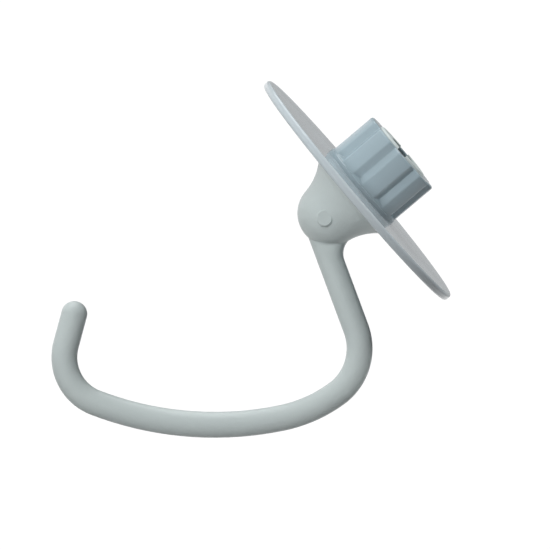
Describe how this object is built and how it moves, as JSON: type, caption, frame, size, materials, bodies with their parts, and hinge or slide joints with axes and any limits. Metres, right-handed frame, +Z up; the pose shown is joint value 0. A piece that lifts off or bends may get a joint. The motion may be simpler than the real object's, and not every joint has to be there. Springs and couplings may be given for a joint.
{
  "type": "stand mixer dough hook",
  "caption": "C-shaped cast dough hook with a round boss, a drive socket with bayonet slots and a round plastic splash guard with a fluted collar.",
  "frame": {"origin": "on the drive axis, at the seat where the splash guard rests on the casting's flange, inside the socket's wall", "axes": "+Z up along the drive axis towards the mixer, +X to the side that the arm leaves the boss from, the arm lies in the XZ plane"},
  "size_m": [0.1023, 0.0974, 0.1443],
  "materials": {
    "coated_casting": "smooth satin coat, pale grey",
    "guard_plastic": "moulded, semi-gloss, pale blue grey"
  },
  "bodies": {
    "root": {"hook": "coated_casting", "splash_guard": "guard_plastic"}
  },
  "joints": []
}
